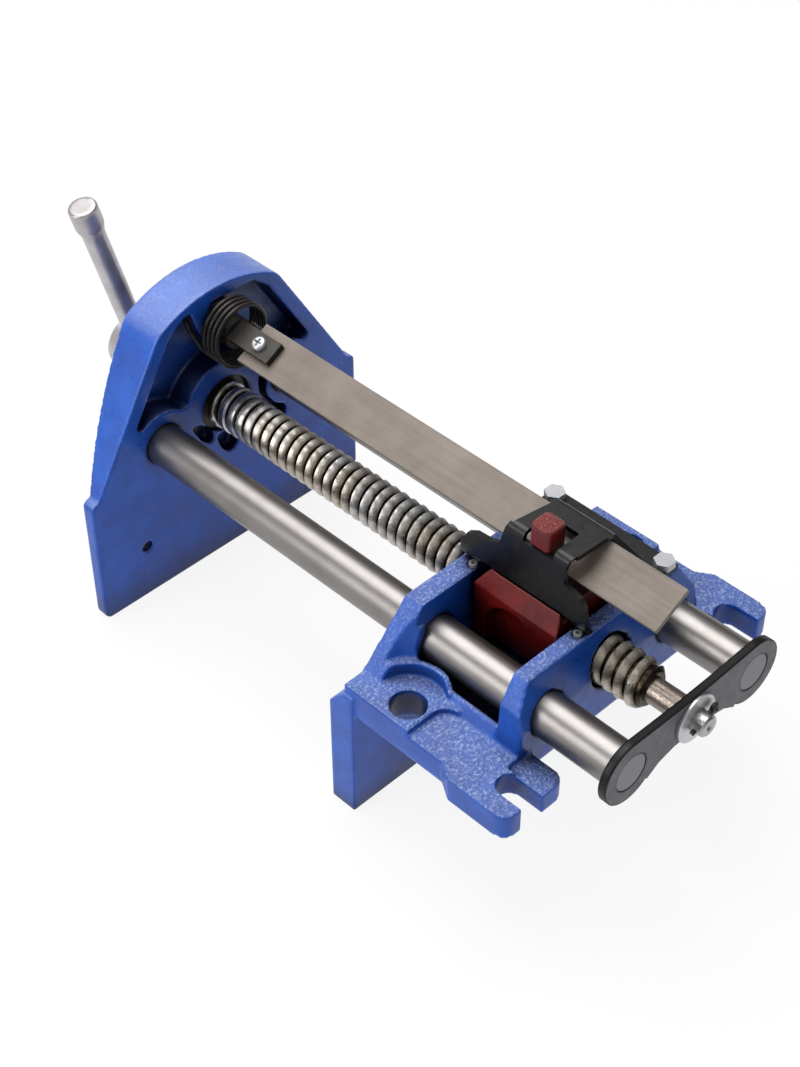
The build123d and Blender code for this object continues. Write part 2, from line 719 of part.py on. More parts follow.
def tommy_bar():
    """Sliding bar with one end upset to a knob."""
    angle = math.radians(bar_tilt)
    along = Vector(math.cos(angle), 0, math.sin(angle))
    top = Vector(0, bar_y, screw_height) + along * bar_reach
    plane = Plane(origin=top, x_dir=(0, 1, 0), z_dir=along)
    half = bar_diameter / 2
    knob = knob_diameter / 2
    stem = Polyline((0, -bar_length + knob_length / 2), (half, -bar_length + knob_length / 2),
                    (half, -knob_length - knob_flare))
    flare = Spline((half, -knob_length - knob_flare), (knob, -knob_length),
                   tangents=((0, 1), (0, 1)))
    cap = FilletPolyline((knob, -knob_length), (knob, 0), (0, 0), radius=knob_round)
    close = Line((0, 0), (0, -bar_length + knob_length / 2))
    section = make_face([stem, flare, cap, close])
    profile_plane = Plane(origin=top, x_dir=(0, 1, 0), z_dir=Vector(0, 1, 0).cross(along))
    solid = revolve(profile_plane * section, Axis(plane.origin, along), 360)
    return solid


def tommy_bar_cap():
    """Ferrule pressed on the bar's other end after it is slid in."""
    angle = math.radians(bar_tilt)
    along = Vector(math.cos(angle), 0, math.sin(angle))
    top = Vector(0, bar_y, screw_height) + along * bar_reach
    low = top - along * bar_length
    cap = Solid.make_cylinder(knob_diameter / 2, knob_length, Plane(origin=low, z_dir=along))
    cap = fillet(cap.edges().filter_by(GeomType.CIRCLE), knob_round)
    bore_start = low + along * (knob_length / 2)
    bore = Solid.make_cylinder(bar_diameter / 2, knob_length, Plane(origin=bore_start, z_dir=along))
    return cap - bore


def release_shaft():
    """Shaft of the quick release, its inner end cut down to a tongue."""
    stud = Solid.make_cylinder(lever_stud_diameter / 2, lever_nut_height + lever_thickness + overrun,
                               Plane(origin=(0, lever_front - lever_nut_height, 0), z_dir=(0, 1, 0)))
    start = lever_rear + running_gap
    shaft = Solid.make_cylinder(shaft_radius, -tongue_end - start,
                                Plane(origin=(0, start, 0), z_dir=(0, 1, 0)))
    above = box(-tongue_width / 2, tongue_width / 2, -tongue_front, -tongue_end,
                tongue_floor, tongue_floor + tongue_thickness)
    keep = box(-shaft_diameter, shaft_diameter, start, -tongue_front, -shaft_diameter, shaft_diameter)
    shaft = shaft & (keep + above)
    shaft += stud
    hole = rod_z(0, -bar_screw_place, bar_screw_diameter / 2 + running_gap, 0, shaft_diameter)
    return release_frame(shaft - hole)


def release_bar():
    """Flat bar that turns with the shaft and lifts the half nut by its edge."""
    bar = box(-flat_width / 2, flat_width / 2, -flat_front, flat_rear, -flat_thickness / 2,
              flat_thickness / 2)
    bar -= rod_z(0, -bar_screw_place, bar_screw_diameter / 2 + running_gap, -shaft_diameter,
                 shaft_diameter)
    return release_frame(bar)


def bar_screw():
    """Cross-head screw that clamps the flat bar under the tongue."""
    seat = tongue_floor + tongue_thickness
    head = rod_z(0, 0, bar_screw_head_diameter / 2, seat, seat + bar_screw_head_height)
    head = fillet(head.edges().sort_by(Axis.Z)[-1], bar_screw_head_height / 2)
    cross_floor = seat + bar_screw_head_height / 3
    half_long = bar_screw_cross_length / 2
    half_wide = bar_screw_cross_width / 2
    head -= box(-half_long, half_long, -half_wide, half_wide, cross_floor, seat + shaft_diameter)
    head -= box(-half_wide, half_wide, -half_long, half_long, cross_floor, seat + shaft_diameter)
    low = -flat_thickness / 2 - running_gap - bar_nut_height
    shank = rod_z(0, 0, bar_screw_diameter / 2, low, seat)
    return release_frame(Pos(0, -bar_screw_place, 0) * (head + shank))


def hexagon_z(x, y, width, z0, z1):
    """Hexagonal block along Z."""
    return prism_z(Pos(x, y) * RegularPolygon(width / 2, 6, major_radius=False), z0, z1)


def bar_nut():
    """Hexagon nut below the flat bar."""
    top = -flat_thickness / 2 - running_gap
    nut = hexagon_z(0, -bar_screw_place, bar_nut_width, top - bar_nut_height, top)
    nut -= rod_z(0, -bar_screw_place, bar_screw_diameter / 2, top - shaft_diameter, shaft_diameter)
    return release_frame(nut)


def release_lever():
    """Lever on the handle side: hub, curved arm and a thumb pad."""
    drop = shaft_height - rod_height
    hub = Pos(shaft_x, shaft_height) * Circle(lever_hub_radius)
    arm_points = [(shaft_x + lever_reach * a, shaft_height + drop * b) for a, b in lever_arm_shares]
    arm = make_face(offset(Polyline(*arm_points), lever_arm_width / 2, side=Side.BOTH))
    lever = prism_y(arm, lever_front, lever_rear) + prism_y(hub, lever_front, lever_rear)
    x0, z0 = arm_points[-2]
    x1, z1 = arm_points[-1]
    tilt = math.degrees(math.atan2(z1 - z0, x1 - x0))
    pad = Pos((x0 + x1) / 2, (z0 + z1) / 2) * Rot(0, 0, tilt) \
        * Rectangle(math.hypot(x1 - x0, z1 - z0), lever_pad_thickness)
    lever += prism_y(pad, lever_front - lever_pad_depth, lever_rear - lever_thickness / 2)
    return lever - rod_y(shaft_x, shaft_height, lever_stud_diameter / 2, lever_front - jaw_depth,
                         lever_rear + overrun)


def lever_washer():
    """Washer between the lever and the jaw."""
    return ring_y(shaft_x, shaft_height, lever_washer_diameter / 2, shaft_radius + running_gap,
                  lever_washer_front, lever_washer_front + lever_washer_thickness)


def lever_nut():
    """Nut that holds the lever on the shaft."""
    shape = Pos(shaft_x, shaft_height) * RegularPolygon(lever_nut_width / 2, 6, major_radius=False)
    nut = prism_y(shape, lever_front - lever_nut_height, lever_front)
    return nut - rod_y(shaft_x, shaft_height, lever_stud_diameter / 2, lever_front - jaw_depth,
                       lever_front + overrun)


def tangent_arc(start, tangent, end):
    """Arc from start along tangent to end."""
    chord = end - start
    across = tangent - chord * (tangent.dot(chord) / chord.dot(chord))
    if across.length < straight_limit:
        return Line(start, end)
    turn = tangent.get_angle(chord)
    rise = chord.length / 2 * math.tan(math.radians(turn) / 2)
    return ThreePointArc(start, start + chord / 2 + across.normalized() * rise, end)


def biarc(start, start_tangent, end, end_tangent):
    """Two arcs that join two points smoothly along the given directions."""
    reach = end - start
    both = start_tangent + end_tangent
    spread = 2 * (1 - start_tangent.dot(end_tangent))
    middle_term = reach.dot(both)
    root = math.sqrt(middle_term * middle_term + spread * reach.dot(reach))
    arm = (root - middle_term) / spread
    joint = (start + end + (start_tangent - end_tangent) * arm) / 2
    first = tangent_arc(start, start_tangent, joint)
    second = tangent_arc(end, end_tangent * -1, joint)
    return [first, second]


def spring_route():
    """Points and directions of the spring wire, from the tooth to the tongue."""
    centre_x = shaft_x
    centre_z = shaft_height
    back = front_face - spring_wire
    flank = tooth_x + tooth_width / 2
    tooth_top = arch_height - rim_width
    leg_gap = spring_wire / 2 + free_gap
    route = [
        (Vector(flank + leg_gap, back, tooth_top - tooth_drop * spring_start_share),
         Vector(*spring_start_direction)),
        (Vector(flank + leg_gap - spring_knee_inset, back, tooth_top - tooth_drop * spring_knee_share),
         Vector(*spring_knee_direction)),
    ]
    steps = spring_turns * 4
    for step in range(steps + 1):
        angle = math.radians(spring_start_angle - 90 * step)
        y = -spring_start + spring_pitch * step / 4
        place = Vector(centre_x + spring_radius * math.cos(angle), y,
                       centre_z + spring_radius * math.sin(angle))
        rise = spring_pitch / (2 * math.pi * spring_radius)
        route.append((place, Vector(math.sin(angle), rise, -math.cos(angle))))
    end_y = -spring_start + spring_pitch * spring_turns + spring_end_clear
    tongue_side = -tongue_width / 2 - leg_gap
    lift = tongue_floor + tongue_thickness / 2
    tilt = math.radians(release_tilt)
    side_x = centre_x + tongue_side * math.cos(tilt) + lift * math.sin(tilt)
    side_z = centre_z - tongue_side * math.sin(tilt) + lift * math.cos(tilt)
    turn_back_x, turn_back_z = (spring_radius * share for share in spring_turn_back_shares)
    route.append((Vector(centre_x + turn_back_x, end_y, centre_z + turn_back_z),
                  Vector(*spring_turn_back_direction)))
    route.append((Vector(side_x, end_y, side_z), Vector(*spring_end_direction)))
    return [(place, direction.normalized()) for place, direction in route]


def lever_spring():
    """Torsion spring that turns the release bar back."""
    route = spring_route()
    edges = []
    for (p0, t0), (p1, t1) in zip(route, route[1:]):
        edges += biarc(p0, t0, p1, t1)
    path = Wire(edges)
    start, direction = route[0]
    section = Plane(origin=start, z_dir=direction) * Circle(spring_wire / 2)
    spring = sweep(section, path=path)
    count = spring_samples + 1
    points = [path @ (i / spring_samples) for i in range(count)]
    apart = math.ceil(math.pi * spring_wire * spring_samples / path.length)
    least = min((points[i] - points[j]).length
                for i in range(0, count, 2) for j in range(i + apart, count, 2))
    print("spring: least gap to itself", round(least - spring_wire, 2))
    return spring


def half_nut():
    """Cast half nut with its window, its thread and the hook over the release bar."""
    block = outline([(-nut_half_width, nut_foot), (nut_half_width, nut_foot),
                     (nut_half_width, nut_shoulder), (nut_lip, nut_top),
                     (-nut_top_half_width, nut_top), (-nut_half_width, nut_shoulder)])
    side = outline([(-nut_front, nut_foot), (nut_rear, nut_foot), (nut_rear, nut_shoulder),
                    (nut_rear - nut_rear_bevel, nut_top), (nut_front_bevel - nut_front, nut_top),
                    (-nut_front, nut_shoulder)])
    nut = prism_y(block, -nut_front, nut_rear) & prism_x(side, -nut_half_width, nut_half_width)
    nut -= box(-nut_channel_half_width, nut_channel_half_width, -nut_front - overrun,
               nut_rear + overrun, nut_foot - overrun, screw_height)
    wide = rod_y(0, screw_height, nut_channel_half_width, -nut_front - overrun, nut_rear + overrun)
    cut_top = screw_height + nut_thread_floor
    nut -= wide & box(-nut_half_width, nut_half_width, -nut_front - jaw_depth, nut_rear + jaw_depth,
                      screw_height - nut_half_width, cut_top)
    nut -= rod_y(0, screw_height, thread_radius + nut_thread_gap, -nut_front - overrun,
                 nut_rear + overrun)
    nut -= box(riser_outer, nut_lip, -nut_front - overrun, nut_rear + overrun, nut_groove_floor,
               nut_top + overrun)
    window_half = (nut_window_front + nut_window_rear) / 2
    window_y = (nut_window_rear - nut_window_front) / 2
    window = Pos(window_y, nut_window_height - window_half) * Circle(window_half) \
        + outline([(-nut_window_front, nut_foot - overrun), (nut_window_rear, nut_foot - overrun),
                   (nut_window_rear, nut_window_height - window_half),
                   (-nut_window_front, nut_window_height - window_half)])
    nut -= both_sides(prism_x(window, nut_half_width - nut_window_depth, nut_half_width + overrun))

    # Riser, stem and hook; the flat bar passes between riser and hook
    tilt = math.radians(release_tilt)
    half_w = flat_width / 2
    half_t = flat_thickness / 2
    corner_x = shaft_x + half_w * math.cos(tilt) + half_t * math.sin(tilt)
    corner_z = shaft_height - half_w * math.sin(tilt) + half_t * math.cos(tilt)
    under_z = shaft_height - half_w * math.sin(tilt) - half_t * math.cos(tilt)
    hook_under = corner_z + bar_grip_gap
    riser_top = under_z - bar_grip_gap
    nut += box(riser_inner, riser_outer, hook_front, hook_rear, nut_top - overrun, riser_top)
    nut += box(stem_inner, riser_outer, hook_front, hook_rear, riser_top - overrun,
               hook_overhang_floor + overrun)
    ramp = (corner_x - hook_inner) * math.tan(tilt)
    hook = outline([(riser_outer, hook_under), (corner_x, hook_under), (hook_inner, hook_under + ramp),
                    (hook_inner, hook_top), (hook_outer, hook_top), (hook_outer, hook_overhang_floor),
                    (riser_outer, hook_overhang_floor)])
    corners = [(hook_inner, hook_front), (hook_outer, hook_front), (hook_outer, hook_rear),
               (hook_inner, hook_rear)]
    hook_solid = prism_y(hook, hook_front, hook_rear)
    hook_solid = hook_solid & prism_z(rounded(corners, hook_corner), nut_top, hook_top + overrun)
    top_edges = hook_solid.faces().sort_by(Axis.Z)[-1].edges()
    nut += fillet(top_edges, hook_round)
    return nut


def cover_profile():
    """Cross-section of the pressed cover."""
    below = 2 * cover_sheet
    near_slope = (cover_wall_x - cover_foot_x) / cover_foot_height
    flange_top = web_height + cover_sheet
    far_slope = (cover_flange_inner - cover_far_x) / (cover_top - flange_top)
    points = [(cover_foot_x - near_slope * below, web_height - below),
              (cover_wall_x, web_height + cover_foot_height), (cover_wall_x, cover_top),
              (-cover_far_x, cover_top),
              (-cover_flange_inner - far_slope * (cover_sheet + below), web_height - below)]
    outer = outline(points)
    top_corners = outer.vertices().sort_by(Axis.Y)[-2:]
    outer = fillet(top_corners, cover_bend)
    inner = offset(outer, -cover_sheet)
    sheet = outer - inner
    flange = outline([(-cover_flange_outer, web_height), (-cover_flange_inner, web_height),
                      (-cover_flange_inner, flange_top), (-cover_flange_outer, flange_top)])
    return sheet + flange


def release_cover():
    """Pressed steel cover bolted to the webs, bridging the half nut."""
    cover = prism_y(cover_profile(), -cover_front, cover_rear)
    high = cover_top + overrun
    cover -= box(-jaw_width, jaw_width, -jaw_width, jaw_width, web_height - 3 * cover_sheet, web_height)

    # The near wall: a low lug at each end and the bridge between, seen from the side
    wall_rise = cover_top - web_height
    run = cover_front + cover_rear
    wall_inner = cover_wall_x - cover_sheet - running_gap
    for shares in (cover_front_wall_shares, cover_rear_wall_shares):
        points = [(-cover_front + run * a, web_height + wall_rise * b) for a, b in shares]
        cover -= prism_x(outline(points), wall_inner - cover_sheet, cover_wall_x + overrun)
    cover -= box(cover_foot_x - 2 * cover_sheet, cover_wall_x + overrun, -front_web_rear, rear_web_front,
                 web_height - overrun, cover_wall_floor)

    # The top and the far slope, seen from above, flare towards the flange
    plan_x = (wall_inner, wall_inner, -cover_far_x, -cover_flange_inner, -cover_flange_inner)
    for shares in (cover_front_plan_shares, cover_rear_plan_shares):
        points = [(x, -cover_front + run * share) for x, share in zip(plan_x, shares)]
        cover -= prism_z(outline(points), web_height + 2 * cover_sheet, high)

    cover -= box(-cover_slot_inner, cover_wall_x + overrun, cover_slot_front, cover_slot_rear,
                 cover_slot_floor, high)
    for y in (-cover_bolt_front, cover_bolt_rear):
        cover -= rod_z(-cover_bolt_x, y, cover_bolt_diameter / 2 + running_gap, web_height - overrun, high)
    return cover


def cover_bolts():
    """Hexagon bolts through the cover's flange."""
    seat = web_height + cover_sheet
    bolts = []
    for y in (-cover_bolt_front, cover_bolt_rear):
        head = hexagon_z(-cover_bolt_x, y, cover_bolt_head, seat, seat + cover_bolt_head_height)
        shank = rod_z(-cover_bolt_x, y, cover_bolt_diameter / 2, web_height - cover_bolt_depth, seat)
        bolts.append(head + shank)
    return bolts


def cover_pins():
    """Hollow spring pins that locate the cover's near foot."""
    top = web_height + cover_pin_stand
    pins = []
    for y in (-cover_pin_front, cover_pin_rear):
        pin = rod_z(cover_pin_x, y, cover_pin_diameter / 2, web_height - cover_pin_depth, top)
        pins.append(pin - rod_z(cover_pin_x, y, cover_pin_bore / 2, web_height - jaw_depth, top + overrun))
    return pins


nodes = {
    "body_casting": body_casting(),
    "release_cover": release_cover(),
    "cover_bolts": cover_bolts(),
    "cover_pins": cover_pins(),
    "front_jaw": front_jaw(),
    "guide_rod_left": guide_rod(rod_x),
    "guide_rod_right": guide_rod(-rod_x),
    "rod_pins": rod_pins(),
    "link_plate": link_plate(),
    "lead_screw": lead_screw(),
    "thrust_collar": thrust_collar(),
    "collar_pin": collar_pin_rod(0),
    "thrust_washer": ring_y(0, screw_height, thrust_washer_diameter / 2, shank_radius + running_gap,
                            washer_front, washer_front + thrust_washer_thickness),
    "screw_head": screw_head(),
    "head_pin": head_pin_rod(),
    "tail_washer": ring_y(0, screw_height, tail_washer_diameter / 2, tail_tip_diameter / 2 + running_gap,
                          link_plate_outer + running_gap,
                          link_plate_outer + running_gap + tail_washer_thickness),
    "split_pin": split_pin(),
    "tommy_bar": tommy_bar(),
    "tommy_bar_cap": tommy_bar_cap(),
    "release_shaft": release_shaft(),
    "release_bar": release_bar(),
    "bar_screw": bar_screw(),
    "bar_nut": bar_nut(),
    "release_lever": release_lever(),
    "lever_washer": lever_washer(),
    "lever_nut": lever_nut(),
    "lever_spring": lever_spring(),
    "half_nut": half_nut(),
}

os.makedirs("parts", exist_ok=True)
for name, shape in nodes.items():
    solids = shape if isinstance(shape, list) else shape.solids()
    export_step(Compound(children=list(solids)) if len(solids) > 1 else solids[0],
                "parts/" + name + ".step")
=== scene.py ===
import bpy
import math
from mathutils import Matrix, Vector


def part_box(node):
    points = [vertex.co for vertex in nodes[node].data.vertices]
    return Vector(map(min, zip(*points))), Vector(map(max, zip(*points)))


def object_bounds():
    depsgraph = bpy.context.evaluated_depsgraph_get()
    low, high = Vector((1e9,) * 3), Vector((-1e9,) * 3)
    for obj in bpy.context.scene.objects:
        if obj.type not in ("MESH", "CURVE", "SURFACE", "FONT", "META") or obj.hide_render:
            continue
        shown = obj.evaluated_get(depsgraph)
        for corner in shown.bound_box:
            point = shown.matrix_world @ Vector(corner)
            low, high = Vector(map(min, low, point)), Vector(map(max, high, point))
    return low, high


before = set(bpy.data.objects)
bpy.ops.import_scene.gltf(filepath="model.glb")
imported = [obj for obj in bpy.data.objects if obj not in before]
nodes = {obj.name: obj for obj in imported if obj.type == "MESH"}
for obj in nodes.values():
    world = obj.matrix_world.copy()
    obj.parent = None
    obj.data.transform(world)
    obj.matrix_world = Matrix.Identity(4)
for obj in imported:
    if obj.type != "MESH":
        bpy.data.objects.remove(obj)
cad_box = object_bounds()

# Sizes and places, in metres
MM = 0.001
FLOOR_Z = cad_box[0].z
PLATE_MARGIN = 0.6 * MM
PLATE_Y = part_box("link_plate")[0].y - PLATE_MARGIN
JOURNAL_LENGTH = 18.5 * MM
THREAD_END_Y = PLATE_Y - JOURNAL_LENGTH
WASHER_LOW, WASHER_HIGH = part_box("tail_washer")
SCREW_AXIS_Z = (WASHER_LOW.z + WASHER_HIGH.z) / 2
SCREW_ROOT = 9.6 * MM
SCREW_CREST = 12.7 * MM

# Cast and forged pieces: the grain of the rounding and how often it is eased
SOFT_FORMS = {
    "body_casting": (0.9 * MM, 4),
    "front_jaw": (0.9 * MM, 4),
    "half_nut": (0.45 * MM, 5),
    "tommy_bar": (0.5 * MM, 22),
    "tommy_bar_cap": (0.5 * MM, 22),
}
# Machined and pressed pieces: the width of their edges
EDGE_WIDTHS = {
    "release_cover": 0.5 * MM,
    "release_lever": 1.0 * MM,
    "cover_bolts": 0.5 * MM,
    "tail_washer": 0.3 * MM,
    "thrust_washer": 0.4 * MM,
    "lever_washer": 0.3 * MM,
    "screw_head": 0.5 * MM,
    "release_shaft": 0.4 * MM,
    "thrust_collar": 0.5 * MM,
    "lever_nut": 0.5 * MM,
    "bar_nut": 0.3 * MM,
    "bar_screw": 0.2 * MM,
    "guide_rod_left": 0.4 * MM,
    "guide_rod_right": 0.4 * MM,
}
# Pieces that keep sharp edges
CRISP_PIECES = ["lead_screw", "lever_spring", "split_pin", "cover_pins", "rod_pins", "collar_pin",
                "head_pin", "link_plate", "release_bar"]
EASE_FACTOR = 0.5
EDGE_SEGMENTS = 3
EDGE_ANGLE = math.radians(35.0)
CRISP_ANGLE = math.radians(38.0)
WELD_DISTANCE = 0.002 * MM

# Colours, in linear RGB
WHITE = (1.0, 1.0, 1.0)
FLOOR_WHITE = (0.9, 0.9, 0.9)
BLUE = (0.011, 0.092, 0.48)
BLUE_DEEP = (0.009, 0.062, 0.35)
# Painted sheen and painted glints for upward faces of the blue enamel
BLUE_PAINTED_SHEEN = (0.52, 0.60, 0.84)
# Painted shade for hollows in the blue enamel
BLUE_PAINTED_SHADE = (0.002, 0.005, 0.035)
RED = (0.175, 0.007, 0.005)
RED_DEEP = (0.085, 0.004, 0.004)
# Painted sheen and painted glints for upward faces of the red enamel
RED_PAINTED_SHEEN = (0.50, 0.16, 0.15)
# Painted shade for hollows in the red enamel
RED_PAINTED_SHADE = (0.03, 0.001, 0.001)
# The lighter colours of the black finishes serve rubbed wear and lighter upward faces, which are
# partly dust and partly painted sheen
BLACK = (0.0040, 0.0040, 0.0045)
BLACK_WEAR_AND_SHEEN = (0.028, 0.027, 0.028)
OXIDE = (0.012, 0.011, 0.010)
OXIDE_WEAR_AND_SHEEN = (0.09, 0.08, 0.07)
SPRING = (0.006, 0.0055, 0.005)
SPRING_WEAR_AND_SHEEN = (0.06, 0.05, 0.045)
HANDLE = (0.52, 0.50, 0.52)
HANDLE_STAIN = (0.30, 0.27, 0.25)
ZINC = (0.56, 0.57, 0.59)
ZINC_STAIN = (0.42, 0.42, 0.41)
ROD = (0.245, 0.232, 0.225)
ROD_STAIN = (0.185, 0.167, 0.153)
RIVET = (0.27, 0.26, 0.275)
PLATE_FACE = (0.13, 0.125, 0.143)
PLATE_FACE_DARK = (0.085, 0.082, 0.095)
PLATE_RIM = (0.005, 0.005, 0.006)
# Thread colours from root to crest: the roots are partly grime and partly painted shade, the crests
# partly polish and partly painted highlight
CLEAN_ROOT_GRIME_AND_SHADE = (0.045, 0.04, 0.037)
CLEAN_FLANK = (0.24, 0.23, 0.225)
CLEAN_CREST_POLISH_AND_HIGHLIGHT = (0.56, 0.55, 0.54)
OILY_ROOT_GRIME_AND_SHADE = (0.04, 0.028, 0.016)
OILY_FLANK = (0.22, 0.175, 0.125)
OILY_CREST_POLISH_AND_HIGHLIGHT = (0.50, 0.45, 0.38)
JOURNAL = (0.27, 0.225, 0.195)
SCREW_TIP = (0.40, 0.39, 0.39)
FLAT_BAR = (0.222, 0.188, 0.162)
FLAT_BAR_DARK = (0.165, 0.138, 0.117)
FLAT_BAR_STREAK = (0.135, 0.112, 0.095)

# Brightness of the studio by height, from the ground at 0 to the zenith at 1
STUDIO_BANDS = [(0.0, 0.30), (0.48, 0.24), (0.56, 0.10), (0.70, 0.14), (0.80, 0.42), (0.88, 0.30),
                (1.0, 0.60)]


# Node helpers
def new_material(name, metallic=0.0, specular=0.5):
    """A material with one shader, its even values set on the shader itself."""
    mat = bpy.data.materials.new(name)
    mat.use_nodes = True
    shader = mat.node_tree.nodes["Principled BSDF"]
    shader.inputs["Metallic"].default_value = metallic
    shader.inputs["Specular IOR Level"].default_value = specular
    return mat, mat.node_tree, shader


def coat(tree, shader, colour, roughness, normal):
    """Give the shader its varied colour, roughness and bump."""
    tree.links.new(colour, shader.inputs["Base Color"])
    tree.links.new(roughness, shader.inputs["Roughness"])
    tree.links.new(normal, shader.inputs["Normal"])


def noise(tree, size, detail=3.0, stretch=(1.0, 1.0, 1.0), rough=0.55):
    """Noise whose grain measures about size metres, longer along a stretched axis."""
    coords = tree.nodes.new("ShaderNodeTexCoord")
    mapping = tree.nodes.new("ShaderNodeMapping")
    mapping.inputs["Scale"].default_value = [1.0 / s for s in stretch]
    texture = tree.nodes.new("ShaderNodeTexNoise")
    texture.inputs["Scale"].default_value = 1.0 / size
    texture.inputs["Detail"].default_value = detail
    texture.inputs["Roughness"].default_value = rough
    tree.links.new(coords.outputs["Object"], mapping.inputs["Vector"])
    tree.links.new(mapping.outputs["Vector"], texture.inputs["Vector"])
    return texture.outputs["Fac"]


def ramp(tree, value, stops):
    """Colour ramp over value; stops are (place, colour or grey)."""
    node = tree.nodes.new("ShaderNodeValToRGB")
    points = node.color_ramp.elements
    while len(points) < len(stops):
        points.new(0.5)
    for point, (place, colour) in zip(points, stops):
        point.position = place
        if isinstance(colour, float):
            colour = (colour, colour, colour)
        point.color = (*colour, 1.0)
    tree.links.new(value, node.inputs["Fac"])
    return node.outputs["Color"]


def fade(tree, value, low, high, start, end):
    """Pass from low to high, colours or greys, as the value goes from start to end."""
    return ramp(tree, value, [(start, low), (end, high)])


def patches(tree, size, low, high, start=0.3, end=0.7, detail=3.0):
    """Cloudy patches of low and high, about size metres across."""
    return fade(tree, noise(tree, size, detail), low, high, start, end)


def mix(tree, factor, first, second):
    """Mix two colours by a factor socket; each colour is a socket or fixed."""
    node = tree.nodes.new("ShaderNodeMix")
    node.data_type = "RGBA"
    sockets = [s for s in node.inputs if s.type == "RGBA"]
    for socket, value in zip(sockets, (first, second)):
        if isinstance(value, tuple):
            socket.default_value = (*value, 1.0)
        else:
            tree.links.new(value, socket)
    tree.links.new(factor, node.inputs["Factor"])
    return [s for s in node.outputs if s.type == "RGBA"][0]


def maths(tree, operation, first, second=None):
    """One operation on one or two values, each a number or a socket."""
    node = tree.nodes.new("ShaderNodeMath")
    node.operation = operation
    for socket, value in zip(node.inputs, (first, second)):
        if value is None:
            continue
        if isinstance(value, float):
            socket.default_value = value
        else:
            tree.links.new(value, socket)
    return node.outputs["Value"]


def bump(tree, height, strength, depth, below=None):
    """Bump from height, laid over another bump if one is given."""
    node = tree.nodes.new("ShaderNodeBump")
    node.inputs["Distance"].default_value = depth
    if isinstance(strength, float):
        node.inputs["Strength"].default_value = strength
    else:
        tree.links.new(strength, node.inputs["Strength"])
    tree.links.new(height, node.inputs["Height"])
    if below is not None:
        tree.links.new(below, node.inputs["Normal"])
    return node.outputs["Normal"]


def split_vector(tree, vector):
    """The X, Y and Z outputs of a vector."""
    split = tree.nodes.new("ShaderNodeSeparateXYZ")
    tree.links.new(vector, split.inputs["Vector"])
    return split.outputs


def object_place(tree):
    """Where a point lies on the object: its X, Y and Z, in metres."""
    coords = tree.nodes.new("ShaderNodeTexCoord")
    return split_vector(tree, coords.outputs["Object"])


def facing_up(tree):
    """How far the surface faces up, from -1 to 1."""
    geometry = tree.nodes.new("ShaderNodeNewGeometry")
    return split_vector(tree, geometry.outputs["True Normal"])["Z"]


def nearby_shade(tree, colour, shade_colour, reach):
    """Painted shade: colour that turns towards the shade colour in hollows narrower than reach."""
    painted_hollow_shade = tree.nodes.new("ShaderNodeAmbientOcclusion")
    painted_hollow_shade.samples = 16
    painted_hollow_shade.inputs["Distance"].default_value = reach
    share = fade(tree, painted_hollow_shade.outputs["AO"], 1.0, 0.0, start=0.35, end=0.80)
    return mix(tree, share, colour, shade_colour)


# Materials
def enamel(name, base, deep, wear_and_sheen, painted_hollow_shade, glint_share=0.42, relief=1.0, grain=1.4 * MM, reach=26 * MM):
    """Enamel over rough cast iron, rougher where it faces up, with a painted sheen and painted
    glints on upward faces and painted shade in hollows.
    """
    cloud_size = 16 * MM
    gloss_size = 5 * MM
    wave_size = 9 * MM
    upward_sheen = 0.20
    mat, tree, shader = new_material(name, specular=0.35)
    upward = fade(tree, facing_up(tree), 0.0, 1.0, start=0.45, end=0.85)
    cloud = patches(tree, cloud_size, deep, base, start=0.35, end=0.66, detail=4.0)
    # Painted glints and a painted sheen, mixed in on faces that look up
    painted_glint = patches(tree, grain, 0.0, 1.0, start=0.50, end=0.66)
    sheen_share = maths(tree, "ADD", maths(tree, "MULTIPLY", painted_glint, glint_share), upward_sheen)
    colour = mix(tree, maths(tree, "MULTIPLY", sheen_share, upward), cloud, wear_and_sheen)
    # Painted shade in hollows
    colour = nearby_shade(tree, colour, painted_hollow_shade, reach)
    gloss = patches(tree, gloss_size, 0.24, 0.40)
    sand = bump(tree, noise(tree, grain, rough=0.6), maths(tree, "MULTIPLY", upward, relief),
                depth=2.0 * MM)
    waves = bump(tree, noise(tree, wave_size, detail=1.0), 0.08, depth=1.5 * MM, below=sand)
    coat(tree, shader, colour, gloss, waves)
    return mat


def ground_steel(name, base, stain, along):
    """Dull ground or plated steel with fine streaks along an axis and faint stains."""
    streak_size = 0.6 * MM
    stain_size = 18 * MM
    roughness = 0.36
    mat, tree, shader = new_material(name, metallic=0.7)
    streak = noise(tree, streak_size, detail=2.0, stretch=along)
    stained = patches(tree, stain_size, 0.0, 0.7, start=0.40, end=0.75, detail=4.0)
    colour = mix(tree, stained, base, stain)
    gloss = fade(tree, streak, roughness * 0.8, roughness * 1.3, start=0.3, end=0.7)
    coat(tree, shader, colour, gloss, bump(tree, streak, 0.12, depth=0.05 * MM))
    return mat


